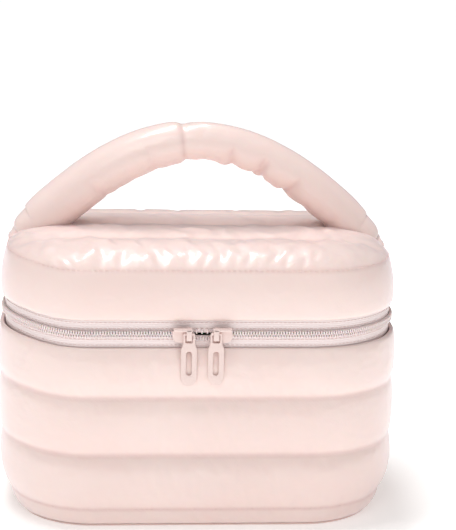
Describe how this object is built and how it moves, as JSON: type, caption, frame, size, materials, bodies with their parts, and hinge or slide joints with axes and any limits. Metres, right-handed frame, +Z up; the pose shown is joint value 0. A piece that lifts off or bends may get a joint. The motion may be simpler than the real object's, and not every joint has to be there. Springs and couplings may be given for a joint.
{
  "type": "makeup bag",
  "caption": "Padded box-shaped makeup bag with quilted walls, a hinged zipped lid with an inner see-through pocket, and a soft arched carry handle.",
  "frame": {"origin": "middle of the flat underside of the bottom panel, on the surface the bag stands on", "axes": "+X along the front to the right as seen from the front, +Y from the front to the hinge at the back, +Z up"},
  "size_m": [0.23, 0.1529, 0.2225],
  "materials": {
    "pink_nylon": "glossy coated nylon over wadding",
    "pink_zip_tape": "matte woven tape",
    "pink_zip_coil": "satin moulded nylon",
    "pink_enamel": "satin enamel",
    "cream_lining": "smooth woven polyester",
    "cream_tape": "ribbed binding tape",
    "peach_cloth": "smooth woven polyester",
    "clear_film": "clear soft film",
    "gold_coil": "satin moulded nylon",
    "gold_metal": "satin plated",
    "wadding": "soft polyester fibre",
    "board": "plain sheet"
  },
  "bodies": {
    "base": {"bottom_panel": "pink_nylon", "base_board": "board", "body_shell": "pink_nylon", "body_wadding": "wadding", "body_lining_wall": "cream_lining", "body_lining_floor": "cream_lining", "body_rim_binding": "cream_tape", "zip_tape_lower": "pink_zip_tape", "zip_coil_lower": "pink_zip_coil", "hinge_strip_lower": "pink_nylon", "zip_end_tab_left": "cream_tape", "zip_end_tab_right": "cream_tape"},
    "lid": {"lid_band": "pink_nylon", "lid_wadding": "wadding", "lid_top_panel": "pink_nylon", "lid_top_wadding": "wadding", "lid_lining_wall": "cream_lining", "lid_lining_top": "cream_lining", "lid_rim_binding": "cream_tape", "zip_tape_upper": "pink_zip_tape", "zip_coil_upper": "pink_zip_coil", "hinge_strip_upper": "pink_nylon", "handle_end_left": "pink_nylon", "handle_end_right": "pink_nylon", "pocket_tape_front": "cream_tape", "pocket_tape_rear": "cream_tape", "pocket_coil_front": "gold_coil", "pocket_coil_rear": "gold_coil", "pocket_header": "peach_cloth", "pocket_window": "clear_film", "pocket_binding": "peach_cloth"},
    "handle": {"handle_cover": "pink_nylon", "handle_core": "wadding"},
    "left_slider": {"slider_left": "pink_enamel"},
    "left_pull": {"pull_left": "pink_enamel"},
    "right_slider": {"slider_right": "pink_enamel"},
    "right_pull": {"pull_right": "pink_enamel"},
    "pocket_zip_slider": {"pocket_slider": "gold_metal"},
    "pocket_zip_pull": {"pocket_pull": "gold_metal"}
  },
  "joints": [
    {"name": "lid_hinge", "type": "hinge", "parent": "base", "child": "lid", "pos_m": [0, 0.073, 0.1155], "axis": [-1, 0, 0], "range_deg": [0, 110]},
    {"name": "handle_fold", "type": "hinge", "parent": "lid", "child": "handle", "pos_m": [0, 0, 0.161], "axis": [1, 0, 0], "range_deg": [-60, 60]},
    {"name": "left_slider_run", "type": "slide", "parent": "base", "child": "left_slider", "axis": [-1, 0, 0], "range_m": [0, 0.042]},
    {"name": "left_pull_swing", "type": "hinge", "parent": "left_slider", "child": "left_pull", "pos_m": [-0.0074, -0.07585, 0.1167], "axis": [-1, 0, 0], "range_deg": [0, 90]},
    {"name": "right_slider_run", "type": "slide", "parent": "base", "child": "right_slider", "axis": [1, 0, 0], "range_m": [0, 0.042]},
    {"name": "right_pull_swing", "type": "hinge", "parent": "right_slider", "child": "right_pull", "pos_m": [0.0074, -0.07585, 0.1167], "axis": [-1, 0, 0], "range_deg": [0, 90]},
    {"name": "pocket_slider_run", "type": "slide", "parent": "lid", "child": "pocket_zip_slider", "axis": [-1, 0, 0], "range_m": [0, 0.13]},
    {"name": "pocket_pull_swing", "type": "hinge", "parent": "pocket_zip_slider", "child": "pocket_zip_pull", "pos_m": [0.06764, -0.05074, 0.14042], "axis": [-1, 0, 0], "range_deg": [0, 90]}
  ]
}
